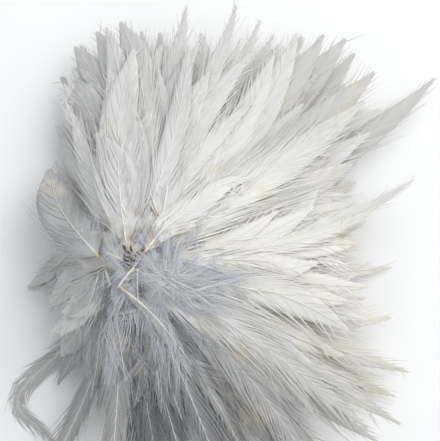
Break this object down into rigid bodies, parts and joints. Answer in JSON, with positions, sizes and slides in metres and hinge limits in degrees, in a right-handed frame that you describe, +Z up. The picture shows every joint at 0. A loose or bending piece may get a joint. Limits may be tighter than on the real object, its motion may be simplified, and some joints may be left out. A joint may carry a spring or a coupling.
{
  "type": "strung goose feather bunch",
  "caption": "Bunch of long pointed white feathers strung on a thread by their quills, spread all round over a downy heart.",
  "frame": {"origin": "on the resting plane, under the middle of the bunch's bounding box", "axes": "+Z up, away from the surface that the bunch lies on; +Y along the longest extent; +X towards the one long feather's side"},
  "size_m": [0.2124, 0.2626, 0.0618],
  "materials": {
    "vane": "matte",
    "down": "matte",
    "thread": "matte"
  },
  "bodies": {
    "root": {"feather_01": "vane", "feather_02": "vane", "feather_03": "vane", "feather_04": "vane", "feather_05": "vane", "feather_06": "vane", "feather_07": "vane", "feather_08": "vane", "feather_09": "vane", "feather_10": "vane", "feather_11": "vane", "feather_12": "vane", "feather_13": "vane", "feather_14": "vane", "feather_15": "vane", "feather_16": "vane", "feather_17": "vane", "feather_18": "vane", "feather_19": "vane", "feather_20": "vane", "feather_21": "vane", "feather_22": "vane", "feather_23": "vane", "feather_24": "vane", "feather_25": "vane", "feather_26": "vane", "feather_27": "vane", "feather_28": "vane", "feather_29": "vane", "feather_30": "vane", "feather_31": "vane", "feather_32": "vane", "feather_33": "vane", "feather_34": "vane", "feather_35": "vane", "feather_36": "vane", "feather_37": "vane", "feather_38": "vane", "feather_39": "vane", "feather_40": "vane", "feather_41": "vane", "feather_42": "vane", "feather_43": "vane", "feather_44": "vane", "feather_45": "vane", "feather_46": "vane", "feather_47": "vane", "feather_48": "vane", "feather_49": "vane", "feather_50": "vane", "feather_51": "vane", "feather_52": "vane", "feather_53": "vane", "feather_54": "vane", "feather_55": "vane", "feather_56": "vane", "feather_57": "vane", "feather_58": "vane", "inner_feathers": "down", "stringing_thread": "thread"}
  },
  "joints": []
}
